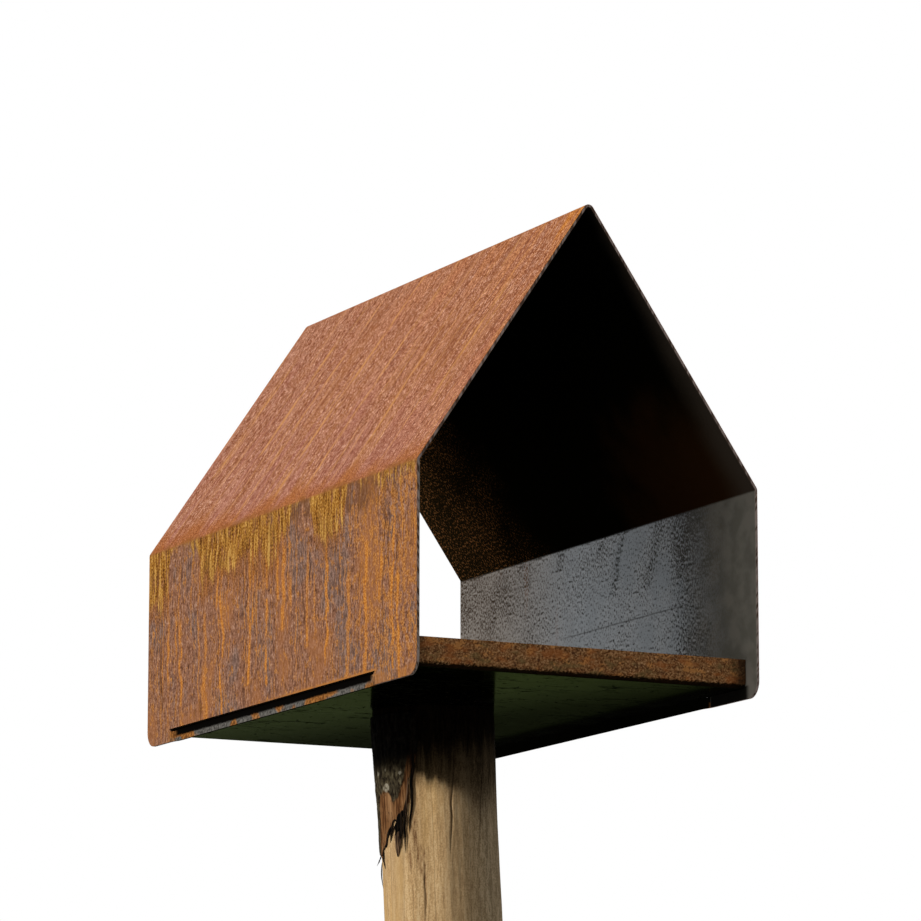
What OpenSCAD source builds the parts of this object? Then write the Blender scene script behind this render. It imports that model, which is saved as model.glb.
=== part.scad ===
// Bird feeder: a house folded from one steel sheet, a steel tray and a round
// wooden post. X runs across the house, Y from its front to its back, and Z up.
// The origin is the middle of the post's foot, at ground level.

/* [House] */
// Width over the two walls
house_w = 250; // [180:5:400]
// Depth from the front edge to the back edge
house_d = 430; // [320:10:600]
// Height of a wall, from its lower edge to the eave
wall_h = 138; // [90:2:220]
// Height of the ridge above the walls' lower edge
ridge_h = 320; // [250:5:420]
// Thickness of the weathering steel sheet
sheet_t = 2; // [1:0.5:3]
// Inside radius of the bends at the ridge and the eaves
bend_r = 2; // [1:0.5:6]
// Radius of the walls' lower corners
corner_r = 11; // [4:1:20]

/* [Ledges] */
// Wall that is left in front of the strip that is cut free
ledge_front = 60; // [25:1:100]
// Wall that is left behind the strip
ledge_back = 38; // [25:1:100]
// Height of the strip, which is also the height the tray stands at
ledge_h = 7; // [4:0.5:14]
// Height of the slot that is cut away above the strip
slot_h = 2; // [1:0.5:5]
// Length of the double bend at each end of the strip
joggle_l = 14; // [10:1:24]

/* [Tray] */
// How far the tray's lips stand back from the edges of the walls
tray_setback = 13.5; // [5:0.5:40]
// Height of a lip, from the underside of the tray
lip_h = 19; // [10:1:40]
// Inside radius of the bend under a lip
lip_r = 2.5; // [1:0.5:6]
// Free play between the tray and each wall
tray_play = 0.5; // [0.2:0.1:2]

/* [Post] */
// Height of the tray's underside above the ground
tray_z = 1500; // [900:10:2000]
// Diameter of the post at the ground
post_foot_d = 84; // [60:2:130]
// Diameter of the post below its head
post_neck_d = 77.5; // [60:0.5:130]
// How much the head swells beyond that, on each side
head_swell = 2.2; // [0:0.2:6]
// How far the post's middle bows out of line
post_bow = 16.5; // [0:0.5:30]
// Distance of the post's head from the middle of the tray
head_shift = 6.5; // [0:0.5:20]

/* [Bark] */
// Thickness of the bark that is left below the head
bark_t = 2; // [1:0.5:6]
// Gap between the bark and the tray
bark_gap = 4; // [1:1:20]
// Length of the bark beside its tongue
bark_l = 56; // [20:2:120]
// How much further the bark's tongue hangs down
tongue_l = 38; // [0:2:120]
// Length of the loose flap that hangs from the bark's edge
flap_l = 28; // [15:1:80]
// Angles round the post from which and to which bark is left
bark_from = 120; // [0:7.5:150]
bark_to = 217.5; // [195:7.5:352.5]
// Width of the flap, as an angle round the post
flap_turn = 22.5; // [7.5:7.5:45]

/* [Hidden] */
$fn = 96;

steel_rust = [0.55, 0.29, 0.16];
tray_rust = [0.42, 0.24, 0.14];
peeled_wood = [0.72, 0.58, 0.40];
bark_brown = [0.30, 0.18, 0.12];

// Levels above the ground
wall_z = tray_z - ledge_h;

// The roof's pitch, and the centres of the left eave's and the ridge's bends
pitch = atan2(ridge_h - wall_h, house_w / 2);
outer_r = bend_r + sheet_t;
eave_centre = [outer_r - house_w / 2, wall_h - outer_r * tan((90 - pitch) / 2)];
ridge_centre = [0, ridge_h - outer_r / cos(pitch)];

// Flats in an eave's bend, and in half of the ridge's
bend_steps = 8;
// Points along the double bend at each end of a pressed strip
joggle_steps = 10;
// How far the strip runs on into the wall that carries it
joggle_lap = 2;
// Share of the tray's play that is taken up where the slot's pointed end stops
tip_share = 0.8;

// Length and middle of the strip in each wall
ledge_l = house_d - ledge_front - ledge_back;
ledge_y = (ledge_front - ledge_back) / 2;

// Length of the slot's pointed ends: there the strip still rises above the
// tray's underside, so it is pressed in by less than the tray's play
tip_l = joggle_l * acos(max(-1, 1 - 2 * tip_share * tray_play / sheet_t)) / 180;

tray_w = house_w - 2 * (sheet_t + tray_play);
tray_l = house_d - 2 * tray_setback;
lip_outer_r = lip_r + sheet_t;

// ---- folded shell -------------------------------------------------------

// The tip of the corner at p, between the directions a and b, outside an arc
// of radius r that touches both
module corner_tip(p, a, b, r) {
    half = acos(a * b) / 2;
    difference() {
        polygon([p, p + a * r / tan(half), p + b * r / tan(half)]);
        translate(p + (a + b) / norm(a + b) * r / sin(half))
            circle(r);
    }
}

// Points of the arc of radius r round c, from the angle a0 to a1
function arc(c, r, a0, a1, n) =
    [for (i = [0 : n]) let (a = a0 + (a1 - a0) * i / n) c + r * [cos(a), sin(a)]];

// One side of the bent sheet from the left foot over the ridge to the right
// foot: the bends' centres are the same for both sides, and only r differs
function sheet_side(r) = let (eave = eave_centre, ridge = ridge_centre)
    concat(
        [[eave[0] - r, 0]],
        arc(eave, r, 180, 90 + pitch, bend_steps),
        arc(ridge, r, 90 + pitch, 90 - pitch, 2 * bend_steps),
        arc([-eave[0], eave[1]], r, 90 - pitch, 0, bend_steps),
        [[r - eave[0], 0]]);

// The bent sheet as seen from the front
module sheet_profile() {
    outer = sheet_side(outer_r);
    inner = sheet_side(bend_r);
    polygon(concat(outer, [for (i = [len(inner) - 1 : -1 : 0]) inner[i]]));
}

// What is cut from both walls at once: their lower corners and the slots
module wall_cuts() {
    rotate([90, 0, 90])
        linear_extrude(house_w + 2, center = true)
            for (s = [0, 1])
                mirror([s, 0])
                    corner_tip([-house_d / 2, 0], [1, 0], [0, 1], corner_r);
    translate([-house_w / 2 - 1, ledge_y - ledge_l / 2, -1])
        cube([house_w + 2, ledge_l, ledge_h + slot_h + 1]);
}

// How far the strip is pressed in at the distance s from its end
function pressed(s) = let (u = max(0, min(1, s / joggle_l)))
    sheet_t * (1 - cos(180 * u)) / 2;

// The strip under the slot of the left wall, pressed in by its own thickness
// to make a ledge for the tray. Its ends rise to the top of the slot, which
// runs out to a point there.
module ledge() {
    half = ledge_l / 2;
    bend = [for (i = [0 : joggle_steps]) joggle_l * i / joggle_steps];
    ys = concat([-half - joggle_lap], [for (s = bend) s - half],
                [for (s = bend) half - joggle_l + s], [half + joggle_lap]);
    outer = [for (y = ys) [pressed(half - abs(y)), y]];
    inner = [for (i = [len(ys) - 1 : -1 : 0]) outer[i] + [sheet_t, 0]];
    top = ledge_h + slot_h;
    rising_end = [[half - tip_l, ledge_h], [half, top], [half + joggle_lap, top],
                  [half + joggle_lap, 0]];
    other_end = [for (i = [3 : -1 : 0]) [-rising_end[i][0], rising_end[i][1]]];
    translate([-house_w / 2, ledge_y, 0])
        intersection() {
            linear_extrude(top)
                polygon(concat(outer, inner));
            rotate([90, 0, 90])
                linear_extrude(house_w, center = true)
                    polygon(concat(rising_end, other_end));
        }
}

module folded_shell() {
    color(steel_rust)
        translate([0, 0, wall_z]) {
            difference() {
                rotate([90, 0, 0])
                    linear_extrude(house_d, center = true)
                        sheet_profile();
                wall_cuts();
            }
            for (s = [0, 1])
                mirror([s, 0, 0])
                    ledge();
        }
}

// ---- floor tray ---------------------------------------------------------

// A lip along the front of the tray, with the bend under it
module tray_lip() {
    translate([-tray_w / 2, -tray_l / 2 + lip_outer_r, lip_outer_r])
        rotate([90, 0, 90])
            rotate([0, 0, 180])
                rotate_extrude(angle = 90)
                    translate([lip_r, 0])
                        square([sheet_t, tray_w]);
    translate([-tray_w / 2, -tray_l / 2, lip_outer_r])
        cube([tray_w, sheet_t, lip_h - lip_outer_r]);
}

module floor_tray() {
    color(tray_rust)
        translate([0, 0, tray_z]) {
            translate([-tray_w / 2, -tray_l / 2 + lip_outer_r, 0])
                cube([tray_w, tray_l - 2 * lip_outer_r, sheet_t]);
            for (s = [0, 1])
                mirror([0, s, 0])
                    tray_lip();
        }
}

// ---- post ---------------------------------------------------------------

// Columns of faces round the post
post_sides = 48;
col_turn = 360 / post_sides;
// Rings of faces up the post: below the flap, and over the flap and the bark
trunk_rings = 40;
flap_rings = 5;
bark_rings = 9;
bark_top = tray_z - bark_gap;

// How far down the swelling of the head reaches
swell_l = 60;
// The head's shift and the bow along Y, as shares of those along X
shift_y = -0.3;
bow_y = -0.5;
// Flats and ridges: each one's depth, how many there are round the post, the
// angle they start at, and the height over which they turn by a degree
waves = [[1.1, 2, 25, 14], [0.7, 5, -40, 9], [0.35, 9, 0, 5]];
// Old knots: each one's angle, its height as a share of the post's, and how far
// it stands out
knots = [[300, 0.62, 4], [110, 0.35, 5]];
// How far round and how far up the post a knot spreads
knot_turn = 16;
knot_h = 35;

// Angle at which the bark's tongue hangs, and how wide it spreads
tongue_a = 160;
tongue_spread = 38;

// The angle a, from -180 to 180
function turned(a) = (a + 540) % 360 - 180;

// Height of the bark's lower edge at the angle a
function bark_end(a) = bark_top - bark_l
    - tongue_l * exp(-pow(turned(a - tongue_a) / tongue_spread, 2));

// The first n of n + 1 values from a to b
function spread(a, b, n) = [for (i = [0 : n - 1]) a + (b - a) * i / n];

// Heights of the rings at the angle a. They run level at the foot and at the
// head. Between those they follow the end of the flap and the bark's lower
// edge, so that the back of the bark lies on the same faces as the wood.
function ring_heights(a) = let (low = bark_end(a) - flap_l, edge = bark_end(a))
    concat(spread(0, low, trunk_rings), spread(low, edge, flap_rings),
           spread(edge, bark_top, bark_rings), [bark_top, tray_z]);

// The post's axis at height z, a slow bow from the foot to the head
function axis_at(z) =
    let (u = z / tray_z, shift = -head_shift * u * u, bow = 4 * post_bow * u * (1 - u))
    [shift + bow, shift_y * shift + bow_y * bow];

// Mean radius at height z: a slow taper, and a swelling at the head
function mean_r(z) = let (u = z / tray_z)
    (post_foot_d + (post_neck_d - post_foot_d) * u) / 2
    + head_swell * exp(-pow((tray_z - z) / swell_l, 2));

// How far the surface leaves that circle: flats, ridges and old knots
function total(list, i = 0) = i < len(list) ? list[i] + total(list, i + 1) : 0;
function wave(a, z, w) = w[0] * cos(w[1] * a + w[2] + z / w[3]);
function knot(a, z, k) =
    k[2] * exp(-pow(turned(a - k[0]) / knot_turn, 2) - pow((z - k[1] * tray_z) / knot_h, 2));
function rough(a, z) =
    total([for (w = waves) wave(a, z, w)]) + total([for (k = knots) knot(a, z, k)]);

// A point on the post's surface, or at the distance lift outside it
function post_point(a, z, lift = 0) =
    let (r = mean_r(z) + rough(a, z) + lift, c = axis_at(z))
    [c[0] + r * cos(a), c[1] + r * sin(a), z];

// The faces that close the end of a loft with n points in a ring: a polygon
// where the ring is flat, or triangles across it from its one side to the other
function flat_end(n) = [[for (j = [0 : n - 1]) j]];
function strip_end(n) = [for (j = [0 : n / 2 - 2])
    each [[j, j + 1, n - 2 - j], [j, n - 2 - j, n - 1 - j]]];

// Closed solid from rings of points, which run anticlockwise as seen from above
// and are given from the lowest to the highest
module loft(rings, end) {
    n = len(rings[0]);
    m = len(rings);
    polyhedron(
        points = [for (ring = rings) each ring],
        faces = [
            each end,
            for (face = end)
                [for (j = [len(face) - 1 : -1 : 0]) (m - 1) * n + face[j]],
            for (i = [0 : m - 2], j = [0 : n - 1])
                let (k = (j + 1) % n)
                each [[i * n + j, (i + 1) * n + j, (i + 1) * n + k],
                      [i * n + j, (i + 1) * n + k, i * n + k]]
        ]);
}

module post() {
    angles = [for (j = [0 : post_sides - 1]) j * col_turn];
    heights = [for (a = angles) ring_heights(a)];
    color(peeled_wood)
        loft([for (i = [0 : len(heights[0]) - 1])
                 [for (j = [0 : post_sides - 1]) post_point(angles[j], heights[j][i])]],
             flat_end(post_sides));
}

// ---- bark ---------------------------------------------------------------

// Thickness along the bark's sides and at the lower ends of the patch and the
// flap, as shares of the full thickness
side_share = 0.5;
patch_end = 0.4;
flap_end = 0.2;
// Rings over which the bark gets its full thickness above its lower end
end_rings = 3;
// Ripples round the post, and the share of the thickness they take
ripples = 7;
ripple_share = 0.2;
// How much thicker the flap is than the patch
flap_thick = 1.3;

// Bark on the post's own faces, from the angle a0 to a1 and from ring i0 to
// i1. It thins out along its sides, and to thin_end at its lower end.
module bark(a0, a1, i0, i1, thick, thin_end) {
    angles = [for (a = [a0 : col_turn : a1]) a];
    heights = [for (a = angles) ring_heights(a)];
    last = len(angles) - 1;
    loft([for (i = [i0 : i1])
             let (end = min(1, thin_end + (i - i0) * (1 - thin_end) / end_rings))
             concat(
                 [for (k = [0 : last])
                     let (side = (k == 0 || k == last) ? side_share : 1, z = heights[k][i],
                          ripple = 1 - ripple_share * (1 - cos(ripples * angles[k] + z)))
                     post_point(angles[k], z, thick * end * side * ripple)],
                 [for (k = [last : -1 : 0]) post_point(angles[k], heights[k][i])])],
         strip_end(2 * last + 2));
}

module bark_patch() {
    first = trunk_rings + flap_rings;
    color(bark_brown)
        bark(bark_from, bark_to, first, first + bark_rings, bark_t, patch_end);
}

module bark_flap() {
    color(bark_brown)
        bark(bark_to - flap_turn, bark_to, trunk_rings, trunk_rings + flap_rings,
             flap_thick * bark_t, flap_end);
}

folded_shell();
floor_tray();
post();
bark_patch();
bark_flap();
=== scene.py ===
# %% [markdown]
# # A bird feeder of rusted sheet on a wooden post
# The feeder is a little house with two open gables. One sheet of weathering
# steel is folded into its walls and roof, a steel tray lies on ledges that are
# pressed out of the walls, and a round post with some bark left on it carries
# the tray. The exact shapes come from the CAD frame. What is left to make here
# is the look: rust, mill scale, weathered wood, bark, screws and the studio.

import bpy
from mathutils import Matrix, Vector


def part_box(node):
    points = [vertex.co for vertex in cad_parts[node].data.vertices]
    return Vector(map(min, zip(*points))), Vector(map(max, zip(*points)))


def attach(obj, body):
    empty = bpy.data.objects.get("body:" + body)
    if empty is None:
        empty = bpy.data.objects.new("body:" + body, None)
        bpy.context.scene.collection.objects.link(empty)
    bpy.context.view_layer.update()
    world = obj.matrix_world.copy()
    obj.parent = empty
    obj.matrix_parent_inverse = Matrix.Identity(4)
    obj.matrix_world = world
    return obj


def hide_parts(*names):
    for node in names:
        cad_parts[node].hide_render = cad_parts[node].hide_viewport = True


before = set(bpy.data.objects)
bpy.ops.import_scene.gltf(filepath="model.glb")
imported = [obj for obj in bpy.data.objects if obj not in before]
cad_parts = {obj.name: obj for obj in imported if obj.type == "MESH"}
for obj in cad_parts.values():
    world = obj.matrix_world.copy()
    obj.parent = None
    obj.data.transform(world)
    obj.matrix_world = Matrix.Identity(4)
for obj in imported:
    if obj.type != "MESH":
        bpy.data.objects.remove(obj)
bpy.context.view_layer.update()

# %% Imports
import math

import bpy
import numpy as np
from mathutils import Vector

print("Blender", bpy.app.version_string, "with numpy", np.__version__)

# %% [markdown]
# ## Sizes
# Everything below is worked out from the frame's boxes and from the few sizes
# of the folded sheet that a box can't tell. All lengths are in metres.

# %% Sizes of the steel parts
shell_low, shell_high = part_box("folded_shell")
tray_low, tray_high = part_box("floor_tray")

MM = 0.001
HALF_W = shell_high.x
HALF_D = shell_high.y
FOOT_Z = shell_low.z
TRAY_Z = tray_low.z
TRAY_END = tray_high.y

SHEET = 2 * MM
WALL_H = 138 * MM
RIDGE_H = 320 * MM
BEND_R = 4 * MM
PITCH = math.atan2(RIDGE_H - WALL_H, HALF_W)
RIDGE_CENTRE = RIDGE_H - BEND_R / math.cos(PITCH)

LEDGE_H = TRAY_Z - FOOT_Z
LEDGE_FRONT = -HALF_D + 60 * MM
LEDGE_BACK = HALF_D - 38 * MM
SLOPE_L = HALF_W / math.cos(PITCH)
print(f"pitch {math.degrees(PITCH):.1f} degrees, roof slope {SLOPE_L / MM:.0f} mm")

# %% [markdown]
# ## Writing materials as formulas
# A rust pattern is mostly arithmetic: how far a point is from an edge, how a
# drip fades, where two colours meet. Nodes can do that, but a hundred `Math`
# nodes are hard to read. So a `Field` wraps a node socket and turns `+ - * /`
# into Math nodes, `Wiring` holds one material's nodes, and a `Finish` adds the
# patterns that the materials share.

# %% Field: arithmetic on sockets
class Field:
    """A value or colour that differs from point to point: one node's output."""

    def __init__(self, wiring, socket):
        self.wiring = wiring
        self.socket = socket

    def __add__(self, other):
        return self.wiring.math("ADD", self, other)

    def __sub__(self, other):
        return self.wiring.math("SUBTRACT", self, other)

    def __rsub__(self, other):
        return self.wiring.math("SUBTRACT", other, self)

    def __mul__(self, other):
        return self.wiring.math("MULTIPLY", self, other)

    def __truediv__(self, other):
        return self.wiring.math("DIVIDE", self, other)

    __radd__ = __add__
    __rmul__ = __mul__


print("a Field turns + - * / into Math nodes")

# %% Wiring: one material's nodes
class Wiring:
    """A material, its shader, and short ways to add and join nodes."""

    def __init__(self, name, roughness, specular):
        self.material = bpy.data.materials.new(name)
        self.material.use_nodes = True
        self.tree = self.material.node_tree
        self.shader = self.tree.nodes["Principled BSDF"]
        self.shader.inputs["Roughness"].default_value = roughness
        self.shader.inputs["Specular IOR Level"].default_value = specular
        place = self.tree.nodes.new("ShaderNodeTexCoord")
        parts = self.tree.nodes.new("ShaderNodeSeparateXYZ")
        self.tree.links.new(place.outputs["Object"], parts.inputs[0])
        self.x, self.y, self.z = (Field(self, out) for out in parts.outputs)

    def node(self, kind, inputs, output=0, **settings):
        """Adds a node, and links or sets each of its inputs."""
        made = self.tree.nodes.new("ShaderNode" + kind)
        for key, value in settings.items():
            setattr(made, key, value)
        for key, value in inputs.items():
            if isinstance(value, Field):
                self.tree.links.new(value.socket, made.inputs[key])
            else:
                made.inputs[key].default_value = value
        return Field(self, made.outputs[output])

    def math(self, operation, a, b=0.0):
        return self.node("Math", {0: a, 1: b}, operation=operation)

    def least(self, a, b):
        return self.math("MINIMUM", a, b)

    def most(self, a, b):
        return self.math("MAXIMUM", a, b)

    def size(self, a):
        """The value without its sign."""
        return self.math("ABSOLUTE", a)

    def painted(self, name):
        """A value that numpy wrote on the mesh's points, under this name."""
        return self.node("Attribute", {}, output="Fac", attribute_name=name)

    def done(self, colour, roughness=None, metallic=None, height=None):
        """Joins the pattern to the shader. height is the relief in metres."""
        joined = {"Base Color": colour, "Roughness": roughness, "Metallic": metallic}
        if height is not None:
            joined["Normal"] = self.node("Bump", {"Height": height, "Distance": 1.0})
        for name, value in joined.items():
            if value is not None:
                self.tree.links.new(value.socket, self.shader.inputs[name])
        print(f"{self.material.name}: {len(self.tree.nodes)} nodes")
        return self.material


print("a material's nodes are added and joined by its Wiring")

# %% Finish: the patterns
class Finish(Wiring):
    """A material with the patterns that rust, wood and bark are made of."""

    def step(self, value, low, high):
        """0 before low, 1 after high, and an s-curve between them.

        Where low is above high it falls instead: 1 below high and 0 above low.
        """
        return self.node(
            "MapRange", {"Value": value, "From Min": low, "From Max": high},
            interpolation_type="SMOOTHSTEP")

    def line(self, value, width):
        """1 where a noise crosses 0.5, and 0 from the given difference on."""
        return self.step(self.size(value - 0.5), width, width * 0.4)

    def band(self, value, low, high, soft):
        """1 between low and high, and 0 outside them."""
        return self.step(value, low - soft, low) * self.step(value, high + soft, high)

    def spot(self, a, b, radius_a, radius_b):
        """A soft blob, 1 in its middle and 0 from the given half sizes on."""
        a, b = a / radius_a, b / radius_b
        return self.step(a * a + b * b, 1.0, 0.0)

    def noise(self, x, y, z=0.0, detail=2.0, rough=0.5):
        """Soft random bumps from 0 to 1, about one bump for each unit."""
        where = self.node("CombineXYZ", {0: x, 1: y, 2: z})
        return self.node(
            "TexNoise", {"Vector": where, "Scale": 1.0, "Detail": detail, "Roughness": rough})

    def cells(self, x, y, z=0.0):
        """Distance to the nearest of a set of scattered points."""
        where = self.node("CombineXYZ", {0: x, 1: y, 2: z})
        return self.node("TexVoronoi", {"Vector": where, "Scale": 1.0})

    def chance(self, number):
        """A random value from 0 to 1 for each whole number."""
        return self.node("TexWhiteNoise", {"W": number}, noise_dimensions="1D", output="Value")

    def threads(self, across, along, lane, width, longest, seed):
        """Thin runs along one direction: one in each lane, at a chance place.

        A run starts and ends at a chance distance along, and is 1 there and 0
        beside it. lane, width and longest are in mm, and are the most they can be.
        """
        lane, width, longest = lane * MM, width * MM, longest * MM
        number = self.math("FLOOR", across / lane)
        middle = (number + self.chance(number + seed) * 0.6 + 0.2) * lane
        start = self.chance(number + seed + 0.3) * longest * 0.5 - longest * 0.1
        end = start + (self.chance(number + seed + 0.6) * 0.7 + 0.35) * longest
        breadth = self.chance(number + seed + 0.8) * 0.5 + 0.5
        off = self.size(across - middle) / breadth
        ends = self.step(along - start, 0.0, longest * 0.08) * self.step(end - along, 0.0, 4 * MM)
        return self.step(off, width * 0.6, width * 0.2) * ends

    def mix(self, mask, under, over):
        """The colour under where mask is 0, and over where it is 1."""
        under, over = (c if isinstance(c, Field) else (*c, 1.0) for c in (under, over))
        return self.node("Mix", {0: mask, 6: under, 7: over}, output=2, data_type="RGBA")

    def tones(self, value, low, high, dark, light):
        """dark where the value is under low, light where it is over high."""
        return self.mix(self.step(value, low, high), dark, light)

    def layers(self, colour, *layers):
        """Lays colours over one another: each layer is (value, low, high, share, over)."""
        for value, low, high, share, over in layers:
            colour = self.mix(self.step(value, low, high) * share, colour, over)
        return colour

    def ramp(self, value, *stops):
        """Colours laid out along a value, each at its own place from 0 to 1."""
        made = self.tree.nodes.new("ShaderNodeValToRGB")
        marks = made.color_ramp.elements
        for index, (place, colour) in enumerate(stops):
            mark = marks[index] if index < 2 else marks.new(place)
            mark.position = place
            mark.color = (*colour, 1.0)
        self.tree.links.new(value.socket, made.inputs[0])
        return Field(self, made.outputs["Color"])


print("a Finish adds steps, bands, noises, threads and colours")

# %% [markdown]
# ## Where a point lies on the folded sheet
# Rain runs down the roof, over the eave and down the wall, so its streaks
# follow the flat sheet as if it were unrolled. Two distances do that: `down`,
# from the ridge along the sheet, and `y`, along the ridge. A third, `depth`,
# says how far a point is below the outer face, so it is 0 outside, 2 mm on the
# inner face, and between them on a cut edge.

# %% Unrolling the sheet
def unroll(f):
    """Fields for a point on the sheet: side, down, height and depth.

    down = distance from the ridge along the slope, plus the drop down the wall.
    depth = distance below the nearest outer plane; round the ridge, where the
    bend cuts its corner, it is the bend's radius less the distance to its axis.
    """
    side = f.math("SIGN", f.x)
    out = f.size(f.x)
    height = f.z - FOOT_Z
    down = out / math.cos(PITCH) + WALL_H - f.least(height, WALL_H)
    below_roof = (RIDGE_H - height) * math.cos(PITCH) - out * math.sin(PITCH)
    flat_depth = f.least(HALF_W - out, below_roof)
    rise = height - RIDGE_CENTRE
    to_axis = f.math("SQRT", out * out + rise * rise)
    at_ridge = f.math("GREATER_THAN", rise * math.tan(PITCH), out)
    depth = flat_depth + at_ridge * (BEND_R - to_axis - flat_depth)
    return side, down, height, depth


print("the sheet is unrolled from the ridge to the walls' lower edges")

# %% [markdown]
# ## Rust on the roof
# The roof weathers to an even pinkish brown. Seen close, it is a fine crackle,
# with thin golden and dark red runs that follow the rain down the slope. Towards
# the ridge and the front edge it is more orange, and low down more mauve. In
# these recipes a number that multiplies a place is a pattern's fineness, in bumps
# for each metre, and one that multiplies a mask is the new colour's share. `shift`
# moves a noise, so that the two sides of the house differ.

# %% Roof: the crackle and its tints
SIDE_SHIFT = 7.0


def roof_ground(f, shift, down, bent, grain):
    """The crackle's colour, and the slow change of its tint from 0 to 1."""
    front = f.y + HALF_D
    colour = f.ramp(
        grain, (0.41, (0.165, 0.046, 0.019)), (0.465, (0.300, 0.100, 0.046)),
        (0.51, (0.430, 0.168, 0.088)), (0.545, (0.560, 0.262, 0.160)), (0.60, (0.84, 0.51, 0.37)))
    tint = f.noise(bent * 34, down * 6, shift + 2, detail=3)
    mauve = f.step(down, 70 * MM, 210 * MM) * 0.10 + tint
    streaks = f.noise(bent * 170, down * 14, shift + 3, detail=3)
    colour = f.layers(
        colour, (mauve, 0.52, 0.66, 0.34, (0.400, 0.150, 0.125)),
        (tint, 0.48, 0.34, 0.36, (0.43, 0.165, 0.055)),
        (streaks, 0.53, 0.66, 0.42, (0.57, 0.28, 0.18)),
        (streaks, 0.47, 0.35, 0.46, (0.22, 0.066, 0.030)))
    warm = f.step(down * 0.62 + front * 0.38, 190 * MM, 20 * MM)
    orange = f.tones(grain, 0.43, 0.58, (0.255, 0.066, 0.016), (0.74, 0.305, 0.105))
    colour = f.mix(warm * f.step(tint + streaks, 0.90, 1.14) * 0.70, colour, orange)
    corner = f.step(front + down * 0.6 + (streaks - 0.5) * 110 * MM, 40 * MM, 8 * MM)
    vivid = f.tones(grain, 0.43, 0.58, (0.40, 0.110, 0.012), (0.86, 0.350, 0.075))
    return f.mix(corner * 0.80, colour, vivid), tint


print("the roof's crackle turns orange at the ridge and the front edge")

# %% Roof: runs, the eave and a pit
ROOF_PIT = (47 * MM, 18 * MM)


def roof_rust(f, side, down):
    """Colour of the roof's outer face, and its grain from 0 to 1."""
    y, shift = f.y, side * SIDE_SHIFT
    sway = (f.noise(y * 5, down * 4, shift, detail=1) - 0.5) * 30 * MM
    bent = y + sway + (f.noise(y * 90, down * 60, shift + 7) - 0.5) * 2.5 * MM
    dashes = f.noise(bent * 560, down * 190, shift, detail=3, rough=0.65)
    crumbs = f.noise(y * 860, down * 700, shift + 1, detail=2)
    grain = dashes * 0.52 + crumbs * 0.48
    colour, tint = roof_ground(f, shift, down, bent, grain)
    torn = f.noise(bent * 260, down * 30, shift + 6, detail=3)
    across = bent + (torn - 0.5) * 2 * MM
    narrow = f.threads(across, down, 17, 3.4, 270, 5) * 0.55
    broad = f.threads(across + 11 * MM, down, 58, 8, 300, 31)
    golden = f.most(narrow, broad * 0.85) * f.step(torn, 0.40, 0.54)
    colour = f.mix(golden * 0.80, colour, (0.66, 0.305, 0.098))
    ragged = down - (tint - 0.5) * 60 * MM - (torn - 0.5) * 16 * MM
    redder = f.tones(crumbs, 0.40, 0.60, (0.22, 0.060, 0.018), (0.54, 0.185, 0.050))
    colour = f.mix(f.step(ragged, SLOPE_L - 24 * MM, SLOPE_L) * 0.70, colour, redder)
    reddish = f.threads(bent + 5 * MM, down, 13, 3, 240, 83) * f.step(torn, 0.56, 0.44)
    colour = f.mix(reddish * 0.62, colour, (0.230, 0.068, 0.030))
    pit = f.spot(y - ROOF_PIT[0], down - ROOF_PIT[1], 1.6 * MM, 2.2 * MM)
    return f.mix(pit * 0.8, colour, (0.05, 0.03, 0.02)), grain


print(f"golden and red runs down a roof slope of {SLOPE_L / MM:.0f} mm")

# %% [markdown]
# ## Rust on the walls
# The walls are browner and more purple. Water that hangs under the eave leaves
# ochre patches with a comb-like end and a brown halo, and then runs down in thin
# orange drips. The drips are threads: the wall is cut into upright lanes with one
# drip in each, at a chance place, and the whole set wanders as it goes down.

# %% Walls: the ground
def wall_ground(f, shift, down, bent, grain, crumbs):
    """Brown crackle with purple and orange patches, freckles and thin veins."""
    y, drop = f.y, down - SLOPE_L
    colour = f.ramp(
        grain, (0.37, (0.085, 0.032, 0.016)), (0.45, (0.205, 0.090, 0.050)),
        (0.51, (0.305, 0.140, 0.080)), (0.575, (0.410, 0.210, 0.128)), (0.67, (0.62, 0.385, 0.27)))
    patches = f.noise(bent * 24, down * 13, shift, detail=3)
    purple = f.tones(grain, 0.42, 0.60, (0.130, 0.080, 0.062), (0.315, 0.205, 0.165))
    crowd = f.step(y, -70 * MM, -170 * MM) * f.band(drop, 15 * MM, 120 * MM, 18 * MM) * 0.08
    freckles = f.noise(bent * 210, down * 110, shift + 4, detail=4, rough=0.7)
    rusty = f.tones(crumbs, 0.42, 0.58, (0.34, 0.115, 0.022), (0.66, 0.285, 0.070))
    colour = f.layers(
        colour, (patches, 0.51, 0.61, 0.74, purple),
        (patches, 0.48, 0.36, 0.50, (0.41, 0.158, 0.052)), (freckles + crowd, 0.56, 0.62, 0.72, rusty))
    near = f.step(f.noise(y * 38, down * 24, shift + 6, detail=2), 0.42, 0.58)
    veins = f.line(f.noise(bent * 150, down * 6, shift + 5, detail=1), 0.028)
    colour = f.mix(veins * near * 0.55, colour, rusty)
    dark_veins = f.line(f.noise(bent * 120, down * 5, shift + 7, detail=1), 0.024)
    return f.mix(dark_veins * near * 0.60, colour, (0.085, 0.032, 0.016))


print(f"the walls' ground covers {WALL_H / MM:.0f} mm below the eave")

# %% Walls: drips
def wall_drips(f, shift, drop, bent, torn):
    """1 on the drips: thick ones, more where the wall is well fed, and thin ones."""
    across = bent + (torn - 0.5) * 3.4 * MM
    fed = f.step(f.noise(f.y * 30, drop * 14, shift + 15, detail=2), 0.40, 0.54)
    thick = f.threads(across, drop, 33, 6.4, 135, 11) * (fed * 0.35 + 0.65)
    other = f.threads(across + 14 * MM, drop - 20 * MM, 41, 5.2, 115, 63) * fed
    thin = f.threads(bent + 9 * MM, drop, 16, 2.2, 110, 47) * 0.7
    return f.most(f.most(thick, other), thin) * f.step(torn, 0.38, 0.50)


print("three sets of drips: thick, well fed and thin")

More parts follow.
